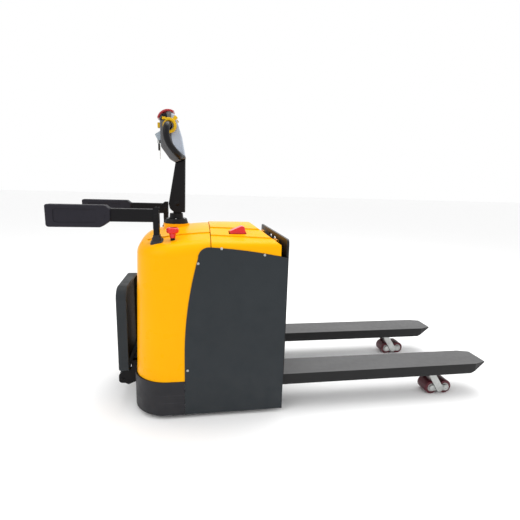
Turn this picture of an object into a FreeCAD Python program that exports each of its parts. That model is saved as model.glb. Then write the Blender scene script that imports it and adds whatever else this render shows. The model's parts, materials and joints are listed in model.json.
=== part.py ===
import FreeCAD, Part
import math
import os

# Powered ride-on pallet jack, millimetres.
# Working axes while building: +X points along the forks to their tips, x = 0 is the fork side of the
# body; +Y is the operator's left; +Z is up and z = 0 is the ground. The forks are raised, the platform
# is folded up and the guard arms are level. SHIFT moves every piece so that the origin ends up
# under the middle of the whole truck.

V = FreeCAD.Vector
Y_AXIS = V(0, 1, 0)
Z_AXIS = V(0, 0, 1)

# ---- overall sizes ----
FORK_TIP = 1150.0           # fork length from the body
PAD_END = -1050.0           # operator-side end of the guard-arm pads
SHIFT = V(-(FORK_TIP + PAD_END) / 2, 0, 0)
HALF_WIDTH = 365.0          # over the side panels
PANEL_T = 3.0
COVER_HALF = HALF_WIDTH - PANEL_T
COVER_WALL = 4.0
CLEAR = 0.35                # gap between faces that turn or slide on each other

# ---- covers ----
FRONT_X = -715.0            # operator face of the covers at the ground
FRONT_X_TOP = -690.0        # the same face at DRAFT_TOP, it leans back
DRAFT_TOP = 800.0
CORNER_R = 165.0
SKIRT_TOP = 190.0
GROUND_GAP = 20.0
SEAM_X = -350.0             # between the front cover and the battery cover
SEAM_GAP = 3.0
CROWN_TOP = 895.0           # height of the crown on the centre line, at the seam
CROWN_Y = 0.00036           # sideways fall of the crown, per mm squared
CROWN_X1 = 0.0512           # fall towards the operator, linear and squared parts
CROWN_X2 = 0.00026
STEP_H = 5.0                # height of one raised step of the top
LID_REAR_X = -32.0

# ---- steering and drive ----
STEER_X = -519.0
WHEEL_R = 115.0
WHEEL_W = 74.0
CASTER_X = -470.0
CASTER_Y = 245.0
CASTER_R = 62.5
CASTER_W = 50.0
CASTER_TRAIL = 34.0
CASTER_DECK = 176.0
UPPER_DECK = 292.0
TILLER_PIVOT = V(-513, 0, 1003)

# ---- forks and lift ----
FORK_W = 170.0
FORK_Y = 257.5              # middle of each fork
FORK_TOP = 190.0
FORK_H = 55.0
FORK_BACK = -46.0           # forks run on under the battery
HEEL_END = 5.0              # the backrest is welded to the fork tops up to here
HEEL_SINK = 1.0             # step in the fork top under that weld
LIFT_TRAVEL = 105.0
CYLINDER_X = -38.0
ROD_FOOT = 350.0            # lower end of the lift rod while the forks are up
ROLLER_R = 37.0
ROLLER_HALF = 40.0
ROLLER_PITCH = 80.0
BOGIE_X = 904.0
ARM_PIVOT_DROP = 40.0       # load-arm pivot below the fork top
ARM_LEN = 135.0
LEVER = 22.0
ARM_FALL = FORK_TOP - ARM_PIVOT_DROP - ROLLER_R
ARM_ANGLE = math.asin(ARM_FALL / ARM_LEN)
ARM_LOW_ANGLE = math.asin((ARM_FALL - LIFT_TRAVEL) / ARM_LEN)
ARM_TURN = ARM_ANGLE - ARM_LOW_ANGLE
ARM_PIVOT_X = BOGIE_X - ARM_LEN * math.cos(ARM_ANGLE)
ROCKER_X = -22.0

# ---- platform and guard arms ----
PLATFORM_X = -802.0         # outer face when folded up
PLATFORM_DEPTH = 49.0
PLATFORM_HALF = 195.0
PLATFORM_Z = (168.0, 601.0)
HINGE = V(-795, 0, 97)
HINGE_Y = 118.0             # middle of each platform bracket
ARM_Y = 268.0
POST_X = -593.0
POST_TOP = 997.0
ARM_PIN_Z = 959.0
BAR_HALF_H = 29.0           # the guard bar is a flat section, 58 high and 36 wide
BAR_HALF_T = 18.0

# ---- control head ----
DOME = V(-548, 0, 1401)     # middle of the rounded end of the head
HEAD_HALF = 46.0
BELLY_R = (46.0, 56.0)
BELLY_ANGLE = 114.0         # direction the belly button faces, degrees from +X towards +Z
THROTTLE = V(-545, 0, 1378)
GRIP_R = 17.0
KEY_X = -598.0
KEY_Y = -12.0
# side view of the head, (x, z, corner radius)
HEAD_PROFILE = [(-468, 1228, 4), (-486, 1333), (-509, 1411, 10), (-520, 1438, 20), (-572, 1438, 20),
                (-590, 1405, 12), (-588, 1280, 30), (-546, 1222, 10), (-519, 1207, 3)]

parts = {}


def put(name, shape):
    parts[name] = shape


def box(x0, x1, y0, y1, z0, z1):
    return Part.makeBox(x1 - x0, y1 - y0, z1 - z0, V(x0, y0, z0))


def rod(start, axis, radius, length):
    return Part.makeCylinder(radius, length, start, axis)


def tube(start, axis, outer, inner, length):
    return rod(start, axis, outer, length).cut(rod(start, axis, inner, length))


def cross_rod(x, z, radius, y0, y1):
    return rod(V(x, y0, z), Y_AXIS, radius, y1 - y0)


def corner(before, point, after, radius):
    """Start, middle and end of the arc that rounds one corner."""
    a = (before - point).normalize()
    b = (after - point).normalize()
    half = a.getAngle(b) / 2
    reach = radius / math.tan(half)
    bisector = (a + b).normalize()
    centre = point + bisector * (radius / math.sin(half))
    return point + a * reach, centre - bisector * radius, point + b * reach


def outline(points):
    """Closed wire through points, each a vector with a corner radius (0 is sharp)."""
    count = len(points)
    arcs = []
    for i, (point, radius) in enumerate(points):
        if radius > 0:
            arcs.append(corner(points[i - 1][0], point, points[(i + 1) % count][0], radius))
        else:
            arcs.append((point, None, point))
    edges = []
    for i, (start, middle, end) in enumerate(arcs):
        if middle is not None:
            edges.append(Part.Arc(start, middle, end).toShape())
        following = arcs[(i + 1) % count][0]
        if end.distanceToPoint(following) > 1e-6:
            edges.append(Part.LineSegment(end, following).toShape())
    return Part.Wire(edges)


def slab_xz(points, y0, y1):
    """Plate whose side view is given as (x, z) or (x, z, corner radius), from y0 to y1."""
    wire = outline([(V(p[0], y0, p[1]), p[2] if len(p) > 2 else 0) for p in points])
    return Part.Face(wire).extrude(V(0, y1 - y0, 0))


def slab_xy(points, z0, z1):
    wire = outline([(V(p[0], p[1], z0), p[2] if len(p) > 2 else 0) for p in points])
    return Part.Face(wire).extrude(V(0, 0, z1 - z0))


def slab_yz(points, x0, x1):
    wire = outline([(V(x0, p[0], p[1]), p[2] if len(p) > 2 else 0) for p in points])
    return Part.Face(wire).extrude(V(x1 - x0, 0, 0))


def mirror_y(shape):
    return shape.mirror(V(0, 0, 0), Y_AXIS)


def pair(shape):
    return shape.fuse(mirror_y(shape))


def rounded_box(x0, x1, y0, y1, z0, z1, radius):
    block = box(x0, x1, y0, y1, z0, z1)
    return block.makeFillet(radius, block.Edges)


def turned(shape, centre, axis, degrees):
    copy = shape.copy()
    copy.rotate(centre, axis, degrees)
    return copy


# ---- body covers ----

def crown_height(x, y):
    """Height of the top of the covers."""
    run = max(0.0, SEAM_X - x)
    return CROWN_TOP - CROWN_X1 * run - CROWN_X2 * run * run - CROWN_Y * y * y


def under_crown(lift):
    """Everything under the crowned top, raised by lift."""
    xs = [FRONT_X - 60 + 42 * i for i in range(20)]
    ys = [-420 + 60 * i for i in range(15)]
    surface = Part.BSplineSurface()
    surface.interpolate([[V(x, y, crown_height(x, y) + lift) for y in ys] for x in xs])
    return surface.toShape().extrude(V(0, 0, -1000))


def plan(x_front, half, radius, z, x_back=0.0):
    return outline([(V(x_back, -half, z), 0), (V(x_back, half, z), 0),
                    (V(x_front, half, z), radius), (V(x_front, -half, z), radius)])


def walls(inset):
    """Tapered tower that the covers are cut from."""
    slope = (FRONT_X_TOP - FRONT_X) / DRAFT_TOP
    top = 960.0
    half = COVER_HALF - inset
    radius = CORNER_R - inset
    low = plan(FRONT_X + inset, half, radius, 0)
    high = plan(FRONT_X + slope * top + inset, half, radius, top)
    return Part.makeLoft([low, high], True, True)


def cover_solid(inset, edge_radius, x0, x1):
    """Rounded-top block between x0 and x1, inset evenly from the outside."""
    block = walls(inset).common(under_crown(-inset)).common(box(x0, x1, -400, 400, 0, 1000))
    top_edges = [e for e in block.Edges if e.BoundBox.ZMin > 780 and not is_across(e)]
    return block.makeFillet(edge_radius, top_edges)


def is_across(edge):
    """True for a top edge that runs straight across the truck at a cut."""
    return edge.BoundBox.XLength < 1 and edge.BoundBox.XMax > FRONT_X_TOP + 100


def raised(half_front, half_rear, x0, x1, lift):
    """Step of the top, wider or narrower towards the rear."""
    prism = slab_xy([(x0, -half_front), (x1, -half_rear), (x1, half_rear), (x0, half_front)], 800, 1000)
    step = prism.common(under_crown(lift)).cut(under_crown(lift - STEP_H - 1))
    return step


def front_cover():
    outer = cover_solid(0, 60, -800, SEAM_X - SEAM_GAP)
    inner = cover_solid(COVER_WALL, 56, -800, SEAM_X + 20)
    step = raised(223, 223, -640, SEAM_X - SEAM_GAP, STEP_H)
    boss = rod(V(STEER_X, 0, 860), Z_AXIS, 66, 40)
    shell = outer.fuse(step).fuse(boss)
    shell = shell.cut(inner).cut(box(-800, 0, -400, 400, -10, SKIRT_TOP))
    shell = shell.cut(rod(V(STEER_X, 0, 700), Z_AXIS, 40, 300))
    put("front_cover", shell)
    return outer


def battery_cover():
    outer = cover_solid(0, 30, SEAM_X, LID_REAR_X)
    step_one = raised(264, 308, SEAM_X, LID_REAR_X, STEP_H)
    step_two = raised(140, 190, SEAM_X, LID_REAR_X, 2 * STEP_H)
    slope = slab_xz([(LID_REAR_X + 1, 839), (LID_REAR_X + 1, 1000), (-268, 1000)], -400, 400)
    inner_slope = slab_xz([(LID_REAR_X + 1, 834), (LID_REAR_X + 1, 1000), (-275, 1000)], -400, 400)
    inner = cover_solid(COVER_WALL, 26, SEAM_X + COVER_WALL, LID_REAR_X - COVER_WALL).cut(inner_slope)
    below = slab_xz([(SEAM_X - 1, 0), (SEAM_X - 1, 829), (0, 785), (0, 0)], -400, 400)
    lid = outer.fuse(step_one).fuse(step_two).cut(slope).cut(inner).cut(below)
    for y in (-207, -171, 171, 207):
        ear = slab_xz([(-36, 826), (-36, 838), (-20, 847, 7), (-11, 838, 7), (-20, 828, 7)], y - 6, y + 6)
        lid = lid.fuse(ear)
    lid = lid.cut(cross_rod(-20, 838, 4 + CLEAR, -300, 300))
    handle_slot = box(-264, -180, -258, -202, 800, 1000)
    put("battery_cover", lid.cut(handle_slot))


def side_panel_outline(y0, y1):
    """Flat side panel: a sloped, slightly bowed top and a bowed operator-side edge."""
    pts = [V(0, y0, GROUND_GAP), V(0, y0, 781), V(-206, y0, 816), V(-362, y0, 830),
           V(-393, y0, 817), V(-409, y0, 780), V(-447, y0, 605), V(-471, y0, 331),
           V(-472, y0, GROUND_GAP)]
    edges = [Part.LineSegment(pts[0], pts[1]).toShape(),
             Part.Arc(pts[1], pts[2], pts[3]).toShape(),
             Part.Arc(pts[3], pts[4], pts[5]).toShape(),
             Part.Arc(pts[5], pts[6], pts[7]).toShape(),
             Part.LineSegment(pts[7], pts[8]).toShape(),
             Part.LineSegment(pts[8], pts[0]).toShape()]
    return Part.Face(Part.Wire(edges)).extrude(V(0, y1 - y0, 0))


def side_panels():
    left = side_panel_outline(COVER_HALF, HALF_WIDTH)
    screw_places = [(-305, 824), (-109, 795), (-408, 757), (-458, 246)]
    screws = []
    for x, z in screw_places:
        hole = cross_rod(x, z, 3.0, COVER_HALF - 5, HALF_WIDTH + 5)
        left = left.cut(hole)
        head = cross_rod(x, z, 6.0, HALF_WIDTH, HALF_WIDTH + 2.2)
        head = head.makeFillet(1.2, [e for e in head.Edges if e.BoundBox.YMin > HALF_WIDTH + 2])
        shank = cross_rod(x, z, 2.9, COVER_HALF, HALF_WIDTH)
        screws += [head.fuse(shank), mirror_y(head.fuse(shank))]
    put("side_panel_left", left)
    put("side_panel_right", mirror_y(left))
    put("panel_screws", Part.makeCompound(screws))


def lower_skirt():
    """Steel band round the operator side, under the yellow cover."""
    outer = Part.Face(plan(FRONT_X - 3, HALF_WIDTH, CORNER_R + 3, GROUND_GAP, -472.5))
    inner = Part.Face(plan(FRONT_X + 3, HALF_WIDTH - 6, CORNER_R - 3, GROUND_GAP, -472.5))
    band = outer.cut(inner).extrude(V(0, 0, SKIRT_TOP - GROUND_GAP - 0.5))
    put("lower_skirt", band)


def chassis_frame():
    """Welded plates that everything else is fastened to."""
    inside = COVER_HALF - COVER_WALL - 1
    deck = slab_xy([(-640, -inside), (-344, -inside), (-344, inside), (-640, inside)],
                   CASTER_DECK, CASTER_DECK + 8)
    plan_inside = Part.Face(plan(FRONT_X + 20, inside - 1, CORNER_R - 4, 0)).extrude(V(0, 0, 900))
    deck = deck.cut(box(-700, -344 - 8, -137, 137, 0, 900))
    webs = pair(box(-640, -352, 137, 145, CASTER_DECK, UPPER_DECK))
    upper = box(-640, -344, -inside, inside, UPPER_DECK, UPPER_DECK + 10)
    upper = upper.cut(rod(V(STEER_X, 0, 0), Z_AXIS, 92, 900))
    bulkhead = box(-352, -344, -355, 355, GROUND_GAP + 5, 770)
    tray = box(-344, -14, -355, 355, 200, 208)
    sills = pair(box(-344, -52, 345, 355, GROUND_GAP + 5, 200))
    frame = deck.fuse(webs).fuse(upper).fuse(bulkhead).fuse(tray).fuse(sills).common(plan_inside)
    front_plate = box(-712, -704, -150, 150, GROUND_GAP + 5, CASTER_DECK + 8)
    front_ribs = pair(box(-704, -640, 137, 145, 60, CASTER_DECK + 8))
    frame = frame.fuse(front_plate).fuse(front_ribs)
    for side in (-1, 1):
        socket = rod(V(CASTER_X, side * CASTER_Y, CASTER_DECK - 14), Z_AXIS, 34, 14)
        frame = frame.fuse(socket).cut(rod(V(CASTER_X, side * CASTER_Y, 0), Z_AXIS, 15 + CLEAR, 230))
    put("chassis_frame", frame.removeSplitter().fuse(mast_rails()))


# ---- power parts inside ----

def battery():
    block = box(-332, -76, -325, 325, 209, 740)
    block = block.makeFillet(6, [e for e in block.Edges if e.BoundBox.ZLength > 400])
    for i in range(3):
        for j in range(4):
            block = block.fuse(rod(V(-292 + 84 * i, -240 + 160 * j, 740), Z_AXIS, 16, 12))
    for side in (-1, 1):
        block = block.fuse(box(-240, -160, side * 90 - 14, side * 90 + 14, 740, 758))
    put("battery", block)


def motor_controller():
    block = box(-480, -370, -335, -190, UPPER_DECK + 10, 440)
    for i in range(8):
        y = -330 + 18 * i
        block = block.fuse(box(-480, -370, y, y + 5, 440, 466))
    put("motor_controller", block)


def hydraulic_pump():
    tank = rounded_box(-500, -372, 195, 335, UPPER_DECK + 10, 440, 10)
    block = box(-480, -392, 220, 310, 440, 480)
    motor = rod(V(-436, 265, 480), Z_AXIS, 48, 130)
    motor = motor.makeFillet(6, [e for e in motor.Edges if e.BoundBox.ZMin > 600])
    put("hydraulic_pump", tank.fuse(block).fuse(motor))


def lift_cylinder():
    barrel = rod(V(CYLINDER_X, 0, 208), Z_AXIS, 25, 350)
    gland = rod(V(CYLINDER_X, 0, 540), Z_AXIS, 29, 18)
    bore_foot = ROD_FOOT - LIFT_TRAVEL - 5
    barrel = barrel.fuse(gland).cut(rod(V(CYLINDER_X, 0, bore_foot), Z_AXIS, 14 + CLEAR, 400))
    put("lift_cylinder", barrel)


def mast_rails():
    """Two upright channels that guide the fork carriage, tied at the top, with the lid hinge."""
    rail = box(-52, -12, 215, 275, 207, 770).cut(box(-44, -12, 223, 267, 0, 800))
    rails = pair(rail)
    tie = box(-52, -44, -215, 215, 730, 770)
    shape = rails.fuse(tie)
    for y in (-189, 189):
        post = box(-26, -14, y - 10, y + 10, 752, 838)
        foot = box(-50, -14, y - 10, y + 10, 752, 770)
        knuckle = cross_rod(-20, 838, 7, y - 10, y + 10)
        pin = cross_rod(-20, 838, 4, y - 25, y + 25)
        shape = shape.fuse(post).fuse(foot).fuse(knuckle).fuse(pin)
    return shape


# ---- steering, drive and casters ----

def drive_unit():
    head = tube(V(STEER_X, 0, UPPER_DECK - 40), Z_AXIS, 86, 20, 70)
    head = head.fuse(rod(V(STEER_X, 0, UPPER_DECK + 10.4), Z_AXIS, 112, 22))
    leg = box(STEER_X - 55, STEER_X + 55, 42, 96, 60, UPPER_DECK - 20)
    leg = leg.fuse(cross_rod(STEER_X, WHEEL_R, 55, 42, 96))
    roof = box(STEER_X - 60, STEER_X + 60, -50, 96, UPPER_DECK - 56, UPPER_DECK - 30)
    axle = cross_rod(STEER_X, WHEEL_R, 22, -38, 50)
    put("drive_head", head.fuse(leg).fuse(roof).fuse(axle))
    top = UPPER_DECK + 32.4
    motor = rod(V(STEER_X, 0, top), Z_AXIS, 84, 250)
    motor = motor.fuse(rod(V(STEER_X, 0, top + 250), Z_AXIS, 70, 26))
    for i in range(12):
        fin = box(82, 88, -3, 3, top + 30, top + 220)
        fin = turned(fin, V(0, 0, 0), Z_AXIS, 30 * i)
        motor = motor.fuse(fin.translated(V(STEER_X, 0, 0)))
    put("drive_motor", motor)


def drive_wheel():
    wheel = cross_rod(STEER_X, WHEEL_R, WHEEL_R, -WHEEL_W / 2, WHEEL_W / 2)
    wheel = wheel.makeFillet(6, [e for e in wheel.Edges if e.BoundBox.XLength > 150])
    recess = cross_rod(STEER_X, WHEEL_R, 76, -WHEEL_W / 2 - 1, -WHEEL_W / 2 + 14)
    wheel = wheel.cut(recess).cut(cross_rod(STEER_X, WHEEL_R, 22 + CLEAR, -50, 50))
    for i in range(5):
        angle = math.radians(72 * i)
        x = STEER_X + 52 * math.cos(angle)
        z = WHEEL_R + 52 * math.sin(angle)
        wheel = wheel.cut(cross_rod(x, z, 9, -50, 50))
    put("drive_wheel", wheel)


def tiller_base():
    flange = Part.makeCone(60, 53, 24, V(STEER_X, 0, 901), Z_AXIS)
    flange = flange.cut(rod(V(STEER_X, 0, 890), Z_AXIS, 34, 60))
    put("tiller_flange", flange)
    column_z = UPPER_DECK + 308.4
    column = rod(V(STEER_X, 0, column_z), Z_AXIS, 30, 926 - column_z)
    collar = Part.makeCone(36, 33, 26, V(STEER_X, 0, 925.4), Z_AXIS)
    lug = slab_xz([(-535, 945), (TILLER_PIVOT.x - 14, 1017, 13), (TILLER_PIVOT.x + 14, 1017, 13),
                   (-491, 945)], -18, 18)
    pin = cross_rod(TILLER_PIVOT.x, TILLER_PIVOT.z, 9, -34, 34)
    lug = lug.common(rod(V(STEER_X, 0, 900), Z_AXIS, 33, 200))
    put("tiller_collar", column.fuse(collar).fuse(lug).fuse(pin))


def casters():
    for side, name in ((1, "left"), (-1, "right")):
        y = side * CASTER_Y
        top = CASTER_DECK - 14.5
        wheel_x = CASTER_X + CASTER_TRAIL
        stem = rod(V(CASTER_X, y, top - 12), Z_AXIS, 15, 62)
        race = rod(V(CASTER_X, y, top - 12), Z_AXIS, 34, 12)
        yoke = box(CASTER_X - 30, CASTER_X + 40, y - 33, y + 33, top - 20, top - 12)
        fork = stem.fuse(race).fuse(yoke)
        for inner in (-33, 28):
            cheek = slab_xz([(CASTER_X - 26, top - 14), (CASTER_X + 38, top - 14),
                             (wheel_x + 16, 46, 14), (wheel_x - 16, 46, 14)], y + inner, y + inner + 5)
            fork = fork.fuse(cheek)
        fork = fork.fuse(cross_rod(wheel_x, CASTER_R, 8, y - 36, y + 36))
        put("caster_fork_" + name, fork)
        wheel = cross_rod(wheel_x, CASTER_R, CASTER_R, y - CASTER_W / 2, y + CASTER_W / 2)
        wheel = wheel.makeFillet(8, [e for e in wheel.Edges if e.BoundBox.XLength > 100])
        for face in (y - CASTER_W / 2 - 1, y + CASTER_W / 2 - 7):
            wheel = wheel.cut(tube(V(wheel_x, face, CASTER_R), Y_AXIS, 42, 18, 8))
        wheel = wheel.cut(cross_rod(wheel_x, CASTER_R, 8 + CLEAR, y - 40, y + 40))
        put("caster_wheel_" + name, wheel)


# ---- forks and lift linkage ----

def fork(name, side):
    """Inverted steel channel with a slanted nose and chamfered tip."""
    half = FORK_W / 2
    low = FORK_TOP - FORK_H
    nose = 92.0
    side_view = [(FORK_BACK, low), (FORK_BACK, FORK_TOP), (FORK_TIP, FORK_TOP),
                 (FORK_TIP, FORK_TOP - 6), (FORK_TIP - nose, low)]
    body = slab_xz(side_view, -half, half)
    cut = 22.0
    run = 70.0
    plan_view = [(FORK_BACK, -half), (FORK_TIP - run, -half), (FORK_TIP, -half + cut),
                 (FORK_TIP, half - cut), (FORK_TIP - run, half), (FORK_BACK, half)]
    body = body.common(slab_xy(plan_view, low - 1, FORK_TOP + 1))
    hollow = slab_xz([(FORK_BACK - 1, low - 1), (FORK_BACK - 1, FORK_TOP - 5),
                      (FORK_TIP - 62, FORK_TOP - 5), (FORK_TIP - nose - 4, low - 1)],
                     -half + 6, half - 6)
    body = body.cut(hollow)
    top_edges = [e for e in body.Edges if abs(e.BoundBox.ZMin - FORK_TOP) < 0.1
                 and e.BoundBox.XLength > 800 and e.BoundBox.ZLength < 1]
    body = body.makeFillet(3, top_edges)
    body = body.cut(box(FORK_BACK - 1, HEEL_END + 1, -half, half, FORK_TOP - HEEL_SINK, FORK_TOP + 1))
    pin_z = FORK_TOP - ARM_PIVOT_DROP
    body = body.fuse(cross_rod(ARM_PIVOT_X, pin_z, 8, -half + 1, half - 1))
    body = body.cut(cross_rod(ROCKER_X, pin_z, 12 + CLEAR, -half - 1, half + 1))
    put(name, body.translated(V(0, side * FORK_Y, 0)))


def carriage():
    """Load backrest plate with the guide shoes and the lug that the lift rod pushes."""
    low = FORK_TOP - FORK_H
    inner = FORK_Y - FORK_W / 2
    outer = FORK_Y + FORK_W / 2
    plate = slab_yz([(-358, FORK_TOP + 2), (358, FORK_TOP + 2), (358, 866, 22), (-358, 866, 22)],
                    -5, HEEL_END)
    plate = plate.cut(slab_yz([(12, 829, 5), (92, 829, 5), (92, 843, 5), (12, 843, 5)], -6, 6))
    plate = plate.cut(slab_yz([(-92, 829, 5), (-12, 829, 5), (-12, 843, 5), (-92, 843, 5)], -6, 6))
    heel = box(FORK_BACK, HEEL_END, -outer, outer, FORK_TOP - HEEL_SINK + 0.02, FORK_TOP + 8)
    bridge = box(-5, HEEL_END, -inner, inner, low, FORK_TOP + 2)
    shape = plate.fuse(heel).fuse(bridge)
    for z in (345, 650):
        for side in (-1, 1):
            y = side * 245
            neck = box(-14, -5, y - 12, y + 12, z, z + 60)
            shoe = box(-43.4, -14, y - 21.4, y + 21.4, z, z + 60)
            shape = shape.fuse(neck).fuse(shoe)
    lug = box(-62, -5, -20, 20, 690, 722)
    lug = lug.fuse(pair(slab_xz([(-5, 668), (-5, 691), (-28, 691)], 15, 20)))
    put("carriage", shape.fuse(lug))
    put("lift_rod", rod(V(CYLINDER_X, 0, ROD_FOOT), Z_AXIS, 14, 690 - ROD_FOOT))


def rocker_shaft():
    """Cross shaft that turns with the lift and drives both push rods."""
    z = FORK_TOP - ARM_PIVOT_DROP
    shape = cross_rod(ROCKER_X, z, 12, -349, 349)
    for side in (-1, 1):
        shape = shape.cut(waist(ROCKER_X, z, side * FORK_Y))
    for side in (-1, 1):
        for offset in (-12.5, 6.5):
            shape = shape.fuse(lever(ROCKER_X, z, side * FORK_Y + offset, 6.0))
        shape = shape.fuse(lever_pin(ROCKER_X, z, side * FORK_Y))
        shape = shape.fuse(cross_rod(ROCKER_X, z, 18, side * 354 - 5, side * 354 + 5))
    crank = slab_xz([(ROCKER_X - 10, z), (ROCKER_X + 10, z), (ROCKER_X + 7, z - 38, 6.5),
                     (ROCKER_X - 7, z - 38, 6.5)], -8, 8)
    crank = turned(crank, V(ROCKER_X, 0, z), Y_AXIS, 35)
    put("rocker_shaft", shape.fuse(crank))


def lever_end():
    """Lever tip relative to its pivot while the forks are up."""
    lean = ARM_TURN / 2
    return V(LEVER * math.sin(lean), 0, LEVER * math.cos(lean))


def lever(x, z, y0, width):
    tip = lever_end()
    base = cross_rod(x, z, 13, y0, y0 + width)
    end = cross_rod(x + tip.x, z + tip.z, 8.5, y0, y0 + width)
    across = V(tip.z, 0, -tip.x).normalize() * 8.5
    quad = [V(x, y0, z) + across, V(x + tip.x, y0, z + tip.z) + across,
            V(x + tip.x, y0, z + tip.z) - across, V(x, y0, z) - across]
    web = Part.Face(outline([(p, 0) for p in quad])).extrude(V(0, width, 0))
    return base.fuse(end).fuse(web)


def waist(x, z, y):
    """Groove round a pivot tube where the push-rod eye passes over it."""
    return tube(V(x, y - 6.5, z), Y_AXIS, 20, 10.4, 13)


def lever_pin(x, z, y):
    tip = lever_end()
    return cross_rod(x + tip.x, z + tip.z, 5, y - 12.5, y + 12.5)


def push_rod(name, side):
    """Flat rod with an upright slot at each end, because the lever pins swing on an arc."""
    z = FORK_TOP - ARM_PIVOT_DROP
    tip = lever_end()
    x0 = ROCKER_X + tip.x
    x1 = ARM_PIVOT_X + tip.x
    y = side * FORK_Y
    pin_low = z + tip.z - 5
    pin_high = z + LEVER + 5
    shape = box(x0, x1, y - 5.5, y + 5.5, pin_low + 0.5, pin_high - 0.5)
    eye_z = (pin_low - 3.7, pin_high + 3.7)
    slot_z = (pin_low - 0.5, pin_high + 0.5)
    for x in (x0, x1):
        shape = shape.fuse(upright_slot(x, 10, eye_z, 8, y, 5.5))
    for x in (x0, x1):
        shape = shape.cut(upright_slot(x, 5.5, slot_z, 5.3, y, 6))
    put(name, shape)


def upright_slot(x, half_width, z_range, radius, y, half_depth):
    z0, z1 = z_range
    return slab_xz([(x - half_width, z0, radius), (x + half_width, z0, radius),
                    (x + half_width, z1, radius), (x - half_width, z1, radius)],
                   y - half_depth, y + half_depth)


def load_arm(name, side):
    """Swinging arm that pushes the load rollers down when the forks rise."""
    z = FORK_TOP - ARM_PIVOT_DROP
    y = side * FORK_Y
    shape = cross_rod(ARM_PIVOT_X, z, 14, y - 57, y + 57).cut(waist(ARM_PIVOT_X, z, y))
    for offset in (-12.5, 6.5):
        shape = shape.fuse(lever(ARM_PIVOT_X, z, y + offset, 6.0))
    shape = shape.fuse(lever_pin(ARM_PIVOT_X, z, y))
    along = V(math.cos(ARM_ANGLE), 0, -math.sin(ARM_ANGLE))
    across = V(along.z, 0, -along.x)
    for y0 in (y - 57, y + 49):
        start = V(ARM_PIVOT_X, y0, z)
        end = start + along * ARM_LEN
        quad = [start + across * 17, end + across * 19, end - across * 19, start - across * 17]
        plate = Part.Face(outline([(p, 0) for p in quad])).extrude(V(0, 8, 0))
        plate = plate.fuse(cross_rod(start.x, z, 17, y0, y0 + 8))
        plate = plate.fuse(cross_rod(end.x, end.z, 19, y0, y0 + 8))
        shape = shape.fuse(plate.cut(cross_rod(end.x, end.z, 9 + CLEAR, y0 - 1, y0 + 9)))
    shape = shape.cut(cross_rod(ARM_PIVOT_X, z, 8 + CLEAR, y - 60, y + 60))
    put(name, shape)


def bogie(name, side):
    """Pair of side plates that carries two rollers and rocks in the middle."""
    y = side * FORK_Y
    half = ROLLER_PITCH / 2
    shape = cross_rod(BOGIE_X - half, ROLLER_R, 10, y - 48, y + 48)
    shape = shape.fuse(cross_rod(BOGIE_X + half, ROLLER_R, 10, y - 48, y + 48))
    for side_y in (y - 48, y + 41):
        plate = slab_xz([(BOGIE_X - half - 17, ROLLER_R - 15, 14), (BOGIE_X + half + 17, ROLLER_R - 15, 14),
                         (BOGIE_X + half + 17, ROLLER_R + 15, 14), (BOGIE_X - half - 17, ROLLER_R + 15, 14)],
                        side_y, side_y + 7)
        shape = shape.fuse(plate)
    for y0 in (y - 57, y + 48):
        shape = shape.fuse(cross_rod(BOGIE_X, ROLLER_R, 9, y0, y0 + 9))
    put(name, shape)


def roller(name, x, side):
    y = side * FORK_Y
    body = cross_rod(x, ROLLER_R, ROLLER_R, y - ROLLER_HALF, y + ROLLER_HALF)
    body = body.makeFillet(4, [e for e in body.Edges if e.BoundBox.XLength > 60])
    put(name, body.cut(cross_rod(x, ROLLER_R, 10 + CLEAR, y - 50, y + 50)))


# ---- operator platform and guard arms ----

def platform():
    """Tray that folds up against the body, with a rubber mat on its standing face."""
    x0 = PLATFORM_X
    x1 = PLATFORM_X + PLATFORM_DEPTH
    z0, z1 = PLATFORM_Z
    half = PLATFORM_HALF
    tray = slab_yz([(-half, z0, 20), (half, z0, 20), (half, z1, 60), (-half, z1, 60)], x0, x1)
    back_edges = [e for e in tray.Edges if e.BoundBox.XMax < x0 + 0.1]
    tray = tray.makeFillet(8, back_edges)
    rim = 14
    pocket = slab_yz([(-half + rim, z0 + rim, 12), (half - rim, z0 + rim, 12),
                      (half - rim, z1 - rim, 48), (-half + rim, z1 - rim, 48)], x0 + 12, x1 + 1)
    tray = tray.cut(pocket)
    gap = rim + 2
    mat = slab_yz([(-half + gap, z0 + gap, 11), (half - gap, z0 + gap, 11),
                   (half - gap, z1 - gap, 46), (-half + gap, z1 - gap, 46)], x0 + 12, x1 - 16)
    put("platform_mat", mat)
    for y in (-HINGE_Y - 12, HINGE_Y - 12):
        ear = slab_xz([(HINGE.x - 16, HINGE.z - 16, 15), (HINGE.x + 16, HINGE.z - 16, 15),
                       (x1 - 8, z0 + 30), (x0 + 2, z0 + 30)], y, y + 24)
        tray = tray.fuse(ear.cut(pocket))
    put("platform_tray", tray.cut(cross_rod(HINGE.x, HINGE.z, 8 + CLEAR, -200, 200)))


def platform_brackets():
    """Lobed plates welded to the skirt that carry the platform hinge pins."""
    shapes = []
    for side in (-1, 1):
        group = []
        for y0 in (side * HINGE_Y - 20, side * HINGE_Y + 13):
            plate = slab_xz([(FRONT_X - 3, 90), (FRONT_X - 3, 190), (-727, 200, 6), (-746, 200, 9),
                             (-751, 150, 12), (-780, 146, 12), (HINGE.x - 19, HINGE.z + 30, 18),
                             (HINGE.x - 19, HINGE.z - 19, 18), (-784, HINGE.z - 19, 4), (-768, 68, 9)],
                            y0, y0 + 7)
            group.append(plate)
        pin = cross_rod(HINGE.x, HINGE.z, 8, side * HINGE_Y - 25, side * HINGE_Y + 25)
        shapes.append(group[0].fuse(group[1]).fuse(pin))
    put("platform_brackets", Part.makeCompound(shapes))


def rectangle(x, y, half_x, half_y, z, radius):
    return outline([(V(x - half_x, y - half_y, z), radius), (V(x + half_x, y - half_y, z), radius),
                    (V(x + half_x, y + half_y, z), radius), (V(x - half_x, y + half_y, z), radius)])


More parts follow.
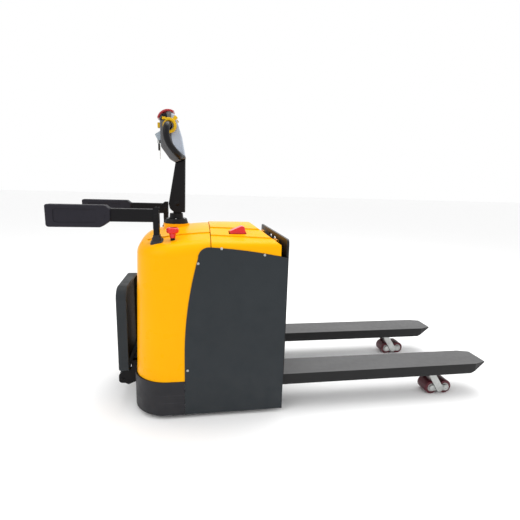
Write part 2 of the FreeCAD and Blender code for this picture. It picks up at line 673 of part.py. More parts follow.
def guard_arms(cover):
    """Side guards: fixed forked post with a rubber boot, folding bar and padded end."""
    y = ARM_Y
    cheek_in = BAR_HALF_T + 0.4
    cheek_out = BAR_HALF_T + 5
    fork_floor = ARM_PIN_Z - BAR_HALF_H - 7
    core = box(POST_X - 13, POST_X + 13, y - 20, y + 20, 700, fork_floor)
    core = core.makeFillet(5, [e for e in core.Edges if e.BoundBox.ZLength > 100])
    fork_head = slab_xz([(POST_X - 13, fork_floor - 22), (POST_X - 13, POST_TOP, 10),
                         (POST_X + 13, POST_TOP, 3), (POST_X + 13, fork_floor - 22)],
                        y - cheek_out, y + cheek_out)
    gap = box(POST_X - 30, POST_X + 30, y - cheek_in, y + cheek_in, fork_floor, POST_TOP + 10)
    pin = cross_rod(POST_X, ARM_PIN_Z, 7, y - cheek_out, y + cheek_out)
    post = core.fuse(fork_head.cut(gap)).fuse(pin).cut(cover)
    boot_low = rectangle(POST_X, y, 33, 34, 810, 10)
    boot_high = rectangle(POST_X, y, 15, 22, 872, 6)
    boot = Part.makeLoft([boot_low, boot_high], True, True)
    boot = boot.cut(box(POST_X - 13, POST_X + 13, y - 20, y + 20, 700, 925)).cut(cover)
    put("arm_posts", Part.makeCompound([post, mirror_y(post)]))
    put("arm_boots", Part.makeCompound([boot, mirror_y(boot)]))

    low = ARM_PIN_Z - BAR_HALF_H
    high = ARM_PIN_Z + BAR_HALF_H
    bar = slab_xz([(-1000, low), (-1000, high), (POST_X + 12, high, 11), (POST_X + 12, low, 11)],
                  y - BAR_HALF_T, y + BAR_HALF_T)
    bar = bar.makeFillet(5, [e for e in bar.Edges if e.BoundBox.XLength > 100])
    arm = bar.cut(cross_rod(POST_X, ARM_PIN_Z, 7 + CLEAR, y - 40, y + 40))
    pad = slab_xz([(PAD_END, 1002, 9), (-806, 1002, 10), (-785, 985, 8), (-787, 933, 10), (-828, 905, 24),
                   (PAD_END, 905, 12)], y - 26, y + 26)
    pad = pad.makeFillet(5, [e for e in pad.Edges if e.BoundBox.YLength < 1 and e.Length > 30])
    recess = slab_xz([(-1018, 985, 12), (-842, 985, 12), (-842, 925, 12), (-1018, 925, 12)],
                     y + 23, y + 40)
    pad = pad.cut(recess).cut(recess.translated(V(0, -63, 0)))
    pad = pad.cut(box(-1000, -700, y - BAR_HALF_T, y + BAR_HALF_T, low, high))
    screw = cross_rod(-812, 955, 5, y + 20, y + 27.5)
    pad = pad.fuse(screw).fuse(screw.translated(V(0, -47.5, 0)))
    put("guard_arm_left", arm)
    put("guard_arm_right", mirror_y(arm))
    put("arm_pad_left", pad)
    put("arm_pad_right", mirror_y(pad))


# ---- controls on the covers ----

def emergency_stop(cover):
    """Red mushroom button whose neck slides down over a short black sleeve."""
    x = -522.0
    y = -280.0
    sleeve_top = 860.0
    cap_low = 881.0
    cap_top = 907.0
    sleeve = rod(V(x, y, 800), Z_AXIS, 10, sleeve_top - 800).cut(cover)
    put("estop_stem", sleeve.cut(rod(V(x, y, 848), Z_AXIS, 6 + CLEAR, 30)))
    neck = Part.makeCone(12.5, 15.5, cap_low - sleeve_top + 1, V(x, y, sleeve_top), Z_AXIS)
    neck = neck.cut(rod(V(x, y, sleeve_top - 1), Z_AXIS, 10 + CLEAR, 9))
    cap = rod(V(x, y, cap_low), Z_AXIS, 28, cap_top - cap_low)
    cap = cap.makeFillet(9, [e for e in cap.Edges if e.BoundBox.XLength > 50])
    plunger = rod(V(x, y, sleeve_top), Z_AXIS, 6, 12)
    put("estop_button", cap.fuse(neck).fuse(plunger))


def disconnect_handle():
    """Wedge-shaped pull on the battery plug, standing in the slot of the battery cover."""
    y = -230.0
    base = 876.0
    stem = box(-245, -199, y - 12, y + 12, 838, base + 2)
    grip = slab_xz([(-260, base, 3), (-258, base + 14, 6), (-204, base + 38, 8), (-190, base + 34, 8),
                    (-184, base, 3)], y - 24, y + 24)
    grip = grip.makeFillet(2, [e for e in grip.Edges if e.BoundBox.YLength < 1 and e.Length > 20])
    plug = rounded_box(-250, -194, y - 22, y + 22, 800, 842, 4)
    put("disconnect_handle", stem.fuse(grip).fuse(plug))


# ---- tiller ----

def tiller_arm():
    """Tapered hollow arm that straddles the collar lug."""
    p = TILLER_PIVOT
    profile = [(-474, 958), (-470, 1226), (-519, 1207, 6), (-556, 1000, 26), (-546, 958)]
    half = 34.0
    outer = slab_xz(profile, -half, half)
    outer = outer.makeFillet(8, [e for e in outer.Edges if e.Length > 180 and e.BoundBox.YLength < 1])
    inner = slab_xz([(-481, 940), (-477, 1180), (-513, 1180), (-549, 1004, 22), (-541, 940)],
                    -half + 6, half - 6)
    heel = box(-600, p.x, -60, 60, 900, p.z).cut(cross_rod(p.x, p.z, 45, -60, 60))
    lug_slot = box(-600, p.x, -19.5, 19.5, 900, p.z + 17)
    arm = outer.cut(inner).cut(heel).cut(lug_slot).cut(head_outer())
    arm = arm.cut(cross_rod(p.x, p.z, 9 + CLEAR, -60, 60))
    put("tiller_arm", arm)


def open_path(points):
    """Open wire of straight runs and arcs through points, each a vector with a corner radius."""
    edges = []
    last = points[0][0]
    for i in range(1, len(points) - 1):
        start, middle, end = corner(points[i - 1][0], points[i][0], points[i + 1][0], points[i][1])
        edges.append(Part.LineSegment(last, start).toShape())
        edges.append(Part.Arc(start, middle, end).toShape())
        last = end
    edges.append(Part.LineSegment(last, points[-1][0]).toShape())
    return Part.Wire(edges)


def polar(centre, radius, degrees, y):
    angle = math.radians(degrees)
    return V(centre.x + radius * math.cos(angle), y, centre.z + radius * math.sin(angle))


def ring_sector(centre, inner, outer, start, stop, y0, y1):
    """Part of a ring seen from the side, between two angles from +X towards +Z."""
    middle = (start + stop) / 2
    edges = [Part.Arc(polar(centre, outer, start, y0), polar(centre, outer, middle, y0),
                      polar(centre, outer, stop, y0)).toShape(),
             Part.LineSegment(polar(centre, outer, stop, y0), polar(centre, inner, stop, y0)).toShape(),
             Part.Arc(polar(centre, inner, stop, y0), polar(centre, inner, middle, y0),
                      polar(centre, inner, start, y0)).toShape(),
             Part.LineSegment(polar(centre, inner, start, y0), polar(centre, outer, start, y0)).toShape()]
    return Part.Face(Part.Wire(edges)).extrude(V(0, y1 - y0, 0))


def head_outer():
    shell = slab_xz(HEAD_PROFILE, -HEAD_HALF, HEAD_HALF)
    return shell.makeFillet(7, [e for e in shell.Edges if e.BoundBox.YLength < 1 and e.Length > 45])


def belly_button():
    """Curved safety button over the end of the head, on two guide stems."""
    inner, outer = BELLY_R
    pad = ring_sector(DOME, inner, outer, 62, 166, -43, 43)
    pad = pad.makeFillet(4, [e for e in pad.Edges if e.BoundBox.YLength < 1 and e.Length > 20])
    for y in (-24, 24):
        pad = pad.fuse(belly_stem(y, 5.0))
    put("belly_button", pad)


def belly_stem(y, radius):
    angle = math.radians(BELLY_ANGLE)
    inward = V(-math.cos(angle), 0, -math.sin(angle))
    start = V(DOME.x, y, DOME.z) - inward * (BELLY_R[0] + 1)
    return rod(start, inward, radius, 24)


def throttle_paddles():
    """Yellow C-shaped thumb paddle round the root of each hand grip."""
    plate = tube(V(THROTTLE.x, HEAD_HALF + 1.5, THROTTLE.z), Y_AXIS, 31, 20, 5)
    arc = ring_sector(THROTTLE, 23, 36, -112, 122, HEAD_HALF + 4, HEAD_HALF + 24)
    arc = arc.makeFillet(3, [e for e in arc.Edges if e.BoundBox.YMin > HEAD_HALF + 23])
    tab = ring_sector(THROTTLE, 30, 56, 40, 60, HEAD_HALF + 4, HEAD_HALF + 20)
    tab = tab.makeFillet(4, [e for e in tab.Edges if e.BoundBox.YLength > 10 and e.BoundBox.XMax > -520])
    paddle = plate.fuse(arc).fuse(tab)
    put("throttle_paddles", Part.makeCompound([paddle, mirror_y(paddle)]))


def hand_grips(head):
    """Closed loop grip on each side of the head."""
    route = [(V(THROTTLE.x, 40, THROTTLE.z), 0), (V(-557, 124, 1371), 26), (V(-546, 130, 1290), 55),
             (V(-500, 112, 1236), 26), (V(-494, 38, 1236), 0)]
    path = open_path(route)
    tangent = (route[1][0] - route[0][0]).normalize()
    ring = Part.Wire(Part.Circle(route[0][0], tangent, GRIP_R).toShape())
    loop = path.makePipeShell([ring], True, False).cut(head)
    grip = max(loop.Solids, key=lambda solid: solid.Volume)
    put("hand_grips", Part.makeCompound([grip, mirror_y(grip)]))


def display_box(head):
    """Display and key-switch box that stands out on the operator side."""
    view = [(-616, 1337, 3), (-590, 1354, 3), (-566, 1348), (-566, 1316), (-577, 1316), (-601, 1308, 3)]
    case = slab_xz(view, -32, 32)
    case = case.cut(head)
    switch = tube(V(KEY_X, KEY_Y, 1297), Z_AXIS, 8, 3 + CLEAR, 16)
    case_cut = case.cut(rod(V(KEY_X, KEY_Y, 1297), Z_AXIS, 3 + CLEAR, 24))
    put("display_box", case_cut)
    put("key_switch", switch.cut(case))


def ignition_key():
    shank = rod(V(KEY_X, KEY_Y, 1293), Z_AXIS, 3, 24)
    bow = box(KEY_X - 4, KEY_X + 4, KEY_Y - 9, KEY_Y + 9, 1262, 1295)
    bow = bow.makeFillet(2.5, bow.Edges)
    tag = box(KEY_X + 4, KEY_X + 6, KEY_Y - 5, KEY_Y + 5, 1221, 1286)
    tag = tag.makeFillet(0.8, [e for e in tag.Edges if e.BoundBox.XLength > 1])
    put("ignition_key", shank.fuse(bow))
    put("key_tag", tag)


def head_button(name, block, travel, head_parts):
    """Button block with its pocket cut from the parts of the head."""
    grown = block.BoundBox
    gap = 0.5
    pocket = box(grown.XMin - gap, grown.XMax + gap + travel.x, grown.YMin - gap + min(travel.y, 0),
                 grown.YMax + gap + max(travel.y, 0), grown.ZMin - gap, grown.ZMax + gap)
    put(name, block)
    return [part.cut(pocket) for part in head_parts]


def control_head():
    head = head_outer()
    dark = slab_xz([(-700, 1500), (-566, 1500), (-553, 1412), (-568, 1402), (-700, 1402)], -90, 90)
    bezel = head.common(dark)
    hollow = slab_xz([(-484, 1240), (-500, 1333), (-522, 1396), (-560, 1390), (-578, 1368), (-575, 1290),
                      (-545, 1245)], -HEAD_HALF + 5, HEAD_HALF - 5)
    face = head.cut(dark).cut(hollow)
    for y in (-24, 24):
        stem_hole = belly_stem(y, 5 + CLEAR)
        travel = V(0.407, 0, -0.914) * 6
        stem_hole = stem_hole.fuse(stem_hole.translated(travel))
        face = face.cut(stem_hole)
        bezel = bezel.cut(stem_hole)
    horn = rounded_box(-604, -581, -14, 14, 1371, 1396, 3)
    bezel, face = head_button("horn_button", horn, V(4, 0, 0), [bezel, face])
    rocker = rounded_box(-579, -560, HEAD_HALF - 4, HEAD_HALF + 3, 1406, 1419, 2.5)
    bezel, face = head_button("lower_button", rocker, V(0, -4, 0), [bezel, face])
    bezel, face = head_button("lift_button", mirror_y(rocker), V(0, 4, 0), [bezel, face])
    put("head_bezel", bezel)
    put("head_shell", face)
    hand_grips(head)
    display_box(head)
    ignition_key()
    belly_button()
    throttle_paddles()


def write_all():
    os.makedirs("parts", exist_ok=True)
    for name, shape in parts.items():
        shape.translated(SHIFT).exportStep("parts/" + name + ".step")
        print(name, len(shape.Solids), shape.isValid(), round(shape.Volume / 1000.0, 1))


cover = front_cover()
battery_cover()
side_panels()
lower_skirt()
chassis_frame()
battery()
motor_controller()
hydraulic_pump()
lift_cylinder()
drive_unit()
drive_wheel()
tiller_base()
casters()
for fork_side, fork_label in ((1, "left"), (-1, "right")):
    fork("fork_" + fork_label, fork_side)
    push_rod("push_rod_" + fork_label, fork_side)
    load_arm("load_arm_" + fork_label, fork_side)
    bogie("bogie_" + fork_label, fork_side)
    roller("roller_front_" + fork_label, BOGIE_X + ROLLER_PITCH / 2, fork_side)
    roller("roller_back_" + fork_label, BOGIE_X - ROLLER_PITCH / 2, fork_side)
carriage()
rocker_shaft()
platform()
platform_brackets()
guard_arms(cover)
emergency_stop(cover)
disconnect_handle()
tiller_arm()
control_head()
write_all()
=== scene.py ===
import json
import math

import bmesh
import bpy
from mathutils import Matrix, Vector
from mathutils.bvhtree import BVHTree


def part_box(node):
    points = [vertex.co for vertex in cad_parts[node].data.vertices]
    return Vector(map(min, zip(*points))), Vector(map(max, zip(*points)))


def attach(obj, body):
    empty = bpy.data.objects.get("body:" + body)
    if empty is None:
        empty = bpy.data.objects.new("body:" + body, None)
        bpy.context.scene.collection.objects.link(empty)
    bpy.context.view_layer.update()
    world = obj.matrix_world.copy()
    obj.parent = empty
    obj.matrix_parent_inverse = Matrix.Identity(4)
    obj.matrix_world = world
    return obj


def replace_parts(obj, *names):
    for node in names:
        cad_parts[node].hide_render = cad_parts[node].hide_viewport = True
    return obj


# Powered ride-on pallet jack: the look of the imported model. Metres, row frame: +X to the fork tips,
# +Y to the far side in the main view, +Z up, the ground at z = 0.

SINK = 0.0006               # how deep the foot of a screw or pin sits in the piece below it

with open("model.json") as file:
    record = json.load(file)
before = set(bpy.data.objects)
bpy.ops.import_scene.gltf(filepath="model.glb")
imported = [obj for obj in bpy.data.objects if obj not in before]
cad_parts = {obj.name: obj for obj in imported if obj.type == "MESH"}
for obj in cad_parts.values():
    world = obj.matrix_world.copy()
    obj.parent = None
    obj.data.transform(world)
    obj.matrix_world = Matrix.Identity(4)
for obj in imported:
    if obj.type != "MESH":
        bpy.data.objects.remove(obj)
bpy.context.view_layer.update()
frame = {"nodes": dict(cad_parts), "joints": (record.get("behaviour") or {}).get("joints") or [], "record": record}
nodes = frame["nodes"]


# ---- colours, linear ----

YELLOW = (0.885, 0.392, 0.0, 1)
PANEL = (0.013, 0.0175, 0.0215, 1)
SKIRT = (0.015, 0.015, 0.0185, 1)
FORK = (0.011, 0.011, 0.0115, 1)
# lighter top of the forks: partly wear, partly painted light falling from above
FORK_TOP_WORN_AND_LIT = (0.112, 0.112, 0.113, 1)
BLACK = (0.0042, 0.0038, 0.0048, 1)
STEEL = (0.42, 0.43, 0.42, 1)
RED = (0.62, 0.009, 0.01, 1)
DARK_RED = (0.3, 0.006, 0.012, 1)
MAROON = (0.076, 0.0095, 0.016, 1)
RUBBER = (0.02, 0.02, 0.021, 1)
HEAD_GREY = (0.33, 0.39, 0.44, 1)
HEAD_LIGHT = (0.4, 0.45, 0.53, 1)
HEAD_DARK = (0.1, 0.102, 0.108, 1)
TAG = (0.5, 0.47, 0.42, 1)
PAD = (0.0125, 0.0115, 0.0175, 1)
MAT = (0.0045, 0.0028, 0.0024, 1)
THROTTLE_YELLOW = (0.66, 0.4, 0.004, 1)
CHROME = (0.6, 0.6, 0.61, 1)
FRAME_BLACK = (0.02, 0.02, 0.022, 1)
CASTING = (0.05, 0.05, 0.055, 1)
BATTERY = (0.03, 0.031, 0.035, 1)
ANODISED = (0.28, 0.285, 0.3, 1)
GLASS = (0.006, 0.008, 0.01, 1)
DUST = (0.15, 0.145, 0.14, 1)
FLOOR_WHITE = (0.95, 0.95, 0.95, 1)
WHITE = (1, 1, 1, 1)


# ---- node helpers ----

NOISE_BAND = (0.3, 0.7)     # the part of a noise value's range that nearly all of it falls in
ARCH_BLUR = 0.0005          # half width of the border of a two-tone arch
HUB_BLUR = 0.0004           # half width of the border between a wheel's hub and its tread
COAT_ROUGHNESS = 0.12


class Graph:
    """Short names for building one material's node tree."""

    def __init__(self, name):
        self.material = bpy.data.materials.new(name)
        self.material.use_nodes = True
        self.tree = self.material.node_tree
        self.shader = self.tree.nodes["Principled BSDF"]
        self.place = self.tree.nodes.new("ShaderNodeTexCoord").outputs["Object"]

    def node(self, kind, **values):
        made = self.tree.nodes.new(kind)
        for key, value in values.items():
            setattr(made, key, value)
        return made

    def link(self, source, target):
        self.tree.links.new(source, target)

    def scaled(self, x, y, z, source=None):
        mapping = self.node("ShaderNodeMapping")
        mapping.inputs["Scale"].default_value = (x, y, z)
        self.link(source or self.place, mapping.inputs["Vector"])
        return mapping.outputs["Vector"]

    def noise(self, scale, detail=4.0, rough=0.55, source=None):
        made = self.node("ShaderNodeTexNoise")
        made.inputs["Scale"].default_value = scale
        made.inputs["Detail"].default_value = detail
        made.inputs["Roughness"].default_value = rough
        self.link(source or self.place, made.inputs["Vector"])
        return made.outputs["Fac"]

    def ramp(self, source, low, high, out_low=0.0, out_high=1.0):
        made = self.node("ShaderNodeMapRange")
        made.inputs["From Min"].default_value = low
        made.inputs["From Max"].default_value = high
        made.inputs["To Min"].default_value = out_low
        made.inputs["To Max"].default_value = out_high
        self.link(source, made.inputs["Value"])
        return made.outputs["Result"]

    def math(self, operation, a, b):
        made = self.node("ShaderNodeMath", operation=operation)
        for socket, value in zip(made.inputs, (a, b)):
            if isinstance(value, (int, float)):
                socket.default_value = value
            else:
                self.link(value, socket)
        return made.outputs["Value"]

    def mix(self, factor, a, b):
        made = self.node("ShaderNodeMix", data_type="RGBA")
        self.link(factor, made.inputs["Factor"])
        for socket, value in ((made.inputs["A"], a), (made.inputs["B"], b)):
            if isinstance(value, tuple):
                socket.default_value = value
            else:
                self.link(value, socket)
        return made.outputs["Result"]

    def height(self):
        split = self.node("ShaderNodeSeparateXYZ")
        self.link(self.place, split.inputs["Vector"])
        return split.outputs


def shade(colour, factor):
    return tuple(min(1.0, c * factor) for c in colour[:3]) + (1,)


def outside_arch(g, base, x, z, radius, outer_colour):
    """Another colour outside an upright arch with its middle at x, z."""
    place = g.height()
    across = g.math("SUBTRACT", place["X"], x)
    down = g.math("MINIMUM", g.math("SUBTRACT", place["Z"], z), 0.0)
    squares = g.math("ADD", g.math("MULTIPLY", across, across), g.math("MULTIPLY", down, down))
    beyond = g.ramp(g.math("SQRT", squares, 0.0), radius - ARCH_BLUR, radius + ARCH_BLUR)
    return g.mix(beyond, base, outer_colour)


def worn_and_lit_top(g, base, worn_and_lit_colour):
    """Lighter colour on faces that look up, patchy along X: partly wear, partly painted light from above."""
    level = (0.75, 0.97)
    patch_band = (0.25, 0.7)
    patch_strength = (0.8, 1.0)
    facing = g.node("ShaderNodeSeparateXYZ")
    g.link(g.node("ShaderNodeNewGeometry").outputs["Normal"], facing.inputs["Vector"])
    upward = g.ramp(facing.outputs["Z"], *level)
    patches = g.noise(9.0, 8.0, 0.6, g.scaled(0.35, 1.4, 1.0))
    worn_and_lit_share = g.ramp(patches, *patch_band, *patch_strength)
    return g.mix(g.math("MULTIPLY", upward, worn_and_lit_share), base, worn_and_lit_colour)


def scratched(g, base, colour, scales):
    """Fine lighter scratches; scales are large across them and small along them."""
    rare = (0.63, 0.72)
    strength = 0.4
    lighter = 3.2
    lines = g.noise(1.0, 5.0, 0.6, g.scaled(*scales))
    scratch = g.ramp(lines, *rare)
    return g.mix(g.math("MULTIPLY", scratch, strength), base, shade(colour, lighter))


def round_hub(g, base, x, y, z, radius, hub_colour):
    """Another colour within a radius of the axis along Y through x, y, z."""
    offset = g.node("ShaderNodeVectorMath", operation="SUBTRACT")
    g.link(g.place, offset.inputs[0])
    offset.inputs[1].default_value = (x, y, z)
    flat = g.scaled(1, 0, 1, offset.outputs["Vector"])
    length = g.node("ShaderNodeVectorMath", operation="LENGTH")
    g.link(flat, length.inputs[0])
    outside = g.ramp(length.outputs["Value"], radius - HUB_BLUR, radius + HUB_BLUR)
    return g.mix(outside, hub_colour, base)


def grimy_foot(g, base, dirt, reach, strength):
    """Patches of dirt that fade out from the ground up to the height reach."""
    patch_band = (0.35, 0.75)
    low = g.ramp(g.height()["Z"], reach, 0.0)
    patch = g.math("MULTIPLY", low, g.ramp(g.noise(14.0, 8.0), *patch_band))
    return g.mix(g.math("MULTIPLY", patch, strength), base, dirt)


def worn_edges(g, rounded, amount):
    """Share of wear: chips where the rounded normal leaves the flat one."""
    rim_band = (0.985, 0.9)
    chip_band = (0.45, 0.62)
    geometry = g.node("ShaderNodeNewGeometry")
    dot = g.node("ShaderNodeVectorMath", operation="DOT_PRODUCT")
    g.link(rounded, dot.inputs[0])
    g.link(geometry.outputs["Normal"], dot.inputs[1])
    rim = g.ramp(dot.outputs["Value"], *rim_band)
    chips = g.math("MULTIPLY", rim, g.ramp(g.noise(60.0, 6.0), *chip_band))
    return g.math("MULTIPLY", chips, amount)


def surface(name, colour, rough, metal=0.0, coat=0.0, mottle=0.1, mottle_scale=5.0, grain_scale=700.0,
            grain=0.00004, edge=None, edge_amount=0.5, soft_edge=0.0012, grime=None, streak=None,
            wheel=None, top=None, two_tone=None, gloss=0.3):
    """Painted, moulded or metal finish: colour variation, grain, worn edges, grime and scratches.

    grime is (colour, top height, strength) for dirt near the ground; streak is (x, y, z) scales for
    scratches; wheel is (x, y, z, radius, hub colour) for a round inner part of another colour; top is
    the lighter colour of faces that look up, partly wear and partly painted light from above; two_tone
    is (x, z, radius, colour) for the colour outside an upright arch.
    """
    speck_scale = grain_scale * 0.35
    speck_band = (0.35, 0.65)
    speck_strength = mottle * 0.9
    speck_lighter = 1.35
    smear_scale = mottle_scale * 6
    rough_low, rough_high = rough * 0.85, min(1.0, rough * 1.18)
    worn_rougher = 0.1

    g = Graph(name)
    tint = g.ramp(g.noise(mottle_scale), *NOISE_BAND)
    result = g.mix(tint, shade(colour, 1 - mottle), shade(colour, 1 + mottle))
    fine = g.ramp(g.noise(speck_scale, 3.0), *speck_band)
    result = g.mix(g.math("MULTIPLY", fine, speck_strength), result, shade(colour, speck_lighter))
    roughness = g.ramp(g.noise(smear_scale), *NOISE_BAND, rough_low, rough_high)

    if two_tone:
        result = outside_arch(g, result, *two_tone)
    # faces that look up get a lighter colour: partly wear, partly painted light from above
    if top:
        result = worn_and_lit_top(g, result, top)
    if streak:
        result = scratched(g, result, colour, streak)
    if wheel:
        result = round_hub(g, result, *wheel)
    if grime:
        result = grimy_foot(g, result, *grime)

    bump = g.node("ShaderNodeBump")
    bump.inputs["Distance"].default_value = grain
    bump.inputs["Strength"].default_value = 1.0
    g.link(g.noise(grain_scale, 3.0), bump.inputs["Height"])
    if soft_edge:
        bevel = g.node("ShaderNodeBevel", samples=4)
        bevel.inputs["Radius"].default_value = soft_edge
        g.link(bevel.outputs["Normal"], bump.inputs["Normal"])
        if edge:
            worn = worn_edges(g, bevel.outputs["Normal"], edge_amount)
            result = g.mix(worn, result, edge)
            roughness = g.math("ADD", roughness, g.math("MULTIPLY", worn, worn_rougher))

    shader = g.shader.inputs
    g.link(result, shader["Base Color"])
    g.link(roughness, shader["Roughness"])
    g.link(bump.outputs["Normal"], shader["Normal"])
    shader["Metallic"].default_value = metal
    shader["Coat Weight"].default_value = coat
    shader["Coat Roughness"].default_value = COAT_ROUGHNESS
    shader["Specular IOR Level"].default_value = gloss
    return g.material


def paint(node, material):
    obj = nodes[node]
    obj.data.materials.clear()
    obj.data.materials.append(material)


# ---- finishes of the CAD pieces ----

shell_low, shell_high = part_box("head_shell")
# middle (x, z) and radius of the light-coloured arch on the side of the head
HEAD_ARCH = (shell_high.x + 0.0334, shell_low.z + 0.1252, 0.0994)

yellow = surface("yellow_enamel", YELLOW, 0.3, mottle=0.025, mottle_scale=2.5,
                 grain_scale=420.0, grain=0.00005, edge=shade(YELLOW, 0.7), edge_amount=0.3,
                 soft_edge=0.002, grime=(shade(YELLOW, 0.55), 0.36, 0.25), gloss=0.07)
panel = surface("panel_powder_coat", PANEL, 0.5, mottle=0.08, mottle_scale=3.0, grain_scale=1100.0,
                grain=0.00012, edge=shade(PANEL, 3.5), edge_amount=0.5, grime=(DUST, 0.3, 0.06))
skirt = surface("skirt_enamel", SKIRT, 0.5, mottle=0.08, mottle_scale=4.0, grain_scale=900.0,
                grain=0.0001, edge=shade(STEEL, 0.6), edge_amount=0.6, grime=(DUST, 0.16, 0.07),
                streak=(3.0, 3.0, 160.0), gloss=0.25)
# the forks' upward faces are lighter: partly wear, partly painted light from above
fork_paint = surface("fork_enamel", FORK, 0.42, mottle=0.12, mottle_scale=6.0, grain_scale=600.0,
                     grain=0.00007, edge=shade(STEEL, 0.7), edge_amount=0.7, top=FORK_TOP_WORN_AND_LIT,
                     streak=(2.2, 120.0, 120.0), gloss=0.18)
black_paint = surface("black_enamel", BLACK, 0.38, mottle=0.12, mottle_scale=8.0,
                      edge=shade(STEEL, 0.35), edge_amount=0.4, gloss=0.16)
black_plastic = surface("black_plastic", BLACK, 0.48, mottle=0.12, mottle_scale=12.0,
                        grain_scale=1500.0, grain=0.00012, edge=shade(BLACK, 4.0), edge_amount=0.4,
                        gloss=0.2)
pad_plastic = surface("pad_grain", PAD, 0.52, mottle=0.1, mottle_scale=9.0, grain_scale=850.0,
                      grain=0.00028, edge=shade(BLACK, 9.0), edge_amount=0.35, soft_edge=0.002,
                      gloss=0.2)
rubber = surface("boot_rubber", RUBBER, 0.68, mottle=0.18, mottle_scale=20.0, grain_scale=900.0,
                 grain=0.0002, edge=shade(RUBBER, 3.0), edge_amount=0.4, soft_edge=0.002, gloss=0.25)
boot_plastic = surface("boot_plastic", shade(BLACK, 2.2), 0.42, mottle=0.12, mottle_scale=20.0,
                       grain_scale=900.0, grain=0.0001, soft_edge=0.0, gloss=0.35)
grip_rubber = surface("grip_rubber", shade(BLACK, 0.9), 0.4, mottle=0.15, mottle_scale=25.0,
                      grain_scale=1700.0, grain=0.0001, soft_edge=0.0, gloss=0.22)
red_gloss = surface("red_gloss", RED, 0.26, coat=0.5, mottle=0.06, mottle_scale=14.0,
                    grain=0.00002, edge=shade(RED, 0.5), edge_amount=0.3, gloss=0.25)
dark_red = surface("belly_red", DARK_RED, 0.3, mottle=0.08, mottle_scale=14.0, grain=0.00002,
                   edge=shade(RED, 1.2), edge_amount=0.3, gloss=0.6)
mat_rubber = surface("mat_rubber", MAT, 0.6, mottle=0.15, mottle_scale=15.0,
                     grain_scale=900.0, grain=0.0002, gloss=0.2)
yellow_plastic = surface("yellow_plastic", THROTTLE_YELLOW, 0.32, coat=0.1, mottle=0.06,
                         mottle_scale=18.0, grain=0.00003, edge=shade(YELLOW, 0.6), edge_amount=0.3,
                         soft_edge=0.0006, gloss=0.2)
head_grey = surface("head_plastic", HEAD_GREY, 0.4, mottle=0.06, mottle_scale=12.0,
                    grain_scale=1300.0, grain=0.00006, edge=shade(HEAD_GREY, 0.6), edge_amount=0.3)
head_two_tone = surface("head_two_tone", HEAD_LIGHT, 0.4, mottle=0.06, mottle_scale=12.0,
                        grain_scale=1300.0, grain=0.00006, edge=shade(HEAD_GREY, 0.6),
                        edge_amount=0.3, two_tone=HEAD_ARCH + (HEAD_DARK,))
zinc = surface("zinc_plate", STEEL, 0.36, metal=0.85, mottle=0.18, mottle_scale=30.0,
               grain_scale=500.0, grain=0.00005, edge=shade(STEEL, 1.5), edge_amount=0.5,
               streak=(200.0, 12.0, 200.0))
chrome = surface("hard_chrome", CHROME, 0.12, metal=1.0, mottle=0.05,
                 mottle_scale=20.0, grain=0.00001)
frame_paint = surface("frame_enamel", FRAME_BLACK, 0.48, mottle=0.15, mottle_scale=7.0,
                      edge=shade(STEEL, 0.6), edge_amount=0.5, grime=(DUST, 0.3, 0.25))
casting = surface("motor_casting", CASTING, 0.58, metal=0.2, mottle=0.2,
                  mottle_scale=25.0, grain_scale=300.0, grain=0.0003, edge=shade(STEEL, 0.7),
                  edge_amount=0.4, grime=(DUST, 0.3, 0.3))
battery_case = surface("battery_case", BATTERY, 0.5, mottle=0.12,
                       mottle_scale=10.0, grain_scale=900.0, grain=0.0001, grime=(DUST, 0.5, 0.2))
anodised = surface("anodised_case", ANODISED, 0.4, metal=0.9, mottle=0.1,
                   mottle_scale=15.0, streak=(200.0, 8.0, 200.0))
tag_metal = surface("tag_metal", TAG, 0.3, metal=0.9, mottle=0.12, mottle_scale=60.0,
                    soft_edge=0.0004)

FINISH = {
    "yellow_paint": yellow, "panel_paint": panel, "black_paint": black_paint,
    "fork_paint": fork_paint, "frame_paint": frame_paint, "zinc_steel": zinc,
    "bright_rod": chrome, "cast_motor": casting, "tread": rubber, "red_polyurethane": rubber,
    "battery_case": battery_case, "controller_case": anodised, "pad_plastic": pad_plastic,
    "boot_rubber": rubber, "mat_rubber": mat_rubber, "red_plastic": red_gloss,
    "yellow_plastic": yellow_plastic, "head_grey": head_grey, "black_plastic": black_plastic,
    "brass_tag": tag_metal,
}
for part in frame["record"]["subparts"]:
    paint(part["node"], FINISH[part["material_slot"]])
paint("lower_skirt", skirt)
paint("head_shell", head_two_tone)
paint("display_box", head_grey)
paint("belly_button", dark_red)


def middle(node):
    low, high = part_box(node)
    return (low + high) / 2


def wheel_material(node, colour, rough, hub_radius, hub):
    centre = middle(node)
    return surface(node + "_finish", colour, rough, mottle=0.16, mottle_scale=26.0, grain_scale=700.0,
                   grain=0.00015, edge=shade(colour, 2.2), edge_amount=0.4,
                   wheel=(centre.x, centre.y, centre.z, hub_radius, hub))


for side in ("left", "right"):
    for place in ("front", "back"):
        name = f"roller_{place}_{side}"
        paint(name, wheel_material(name, MAROON, 0.36, 0.023, shade(STEEL, 0.9)))
    name = f"caster_wheel_{side}"
    paint(name, wheel_material(name, RUBBER, 0.6, 0.044, shade(STEEL, 0.8)))
paint("drive_wheel", wheel_material("drive_wheel", RUBBER, 0.62, 0.078, shade(STEEL, 0.7)))


# ---- mesh helpers ----

def mesh_object(name, bm, material, body, smooth=True):
    mesh = bpy.data.meshes.new(name)
    bmesh.ops.recalc_face_normals(bm, faces=bm.faces)
    bm.to_mesh(mesh)
    bm.free()
    for polygon in mesh.polygons:
        polygon.use_smooth = smooth
    mesh.materials.append(material)
    obj = bpy.data.objects.new(name, mesh)
    bpy.context.scene.collection.objects.link(obj)
    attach(obj, body)
    return obj


def joint_place(name):
    return next(j["pos_m"] for j in frame["joints"] if j["name"] == name)


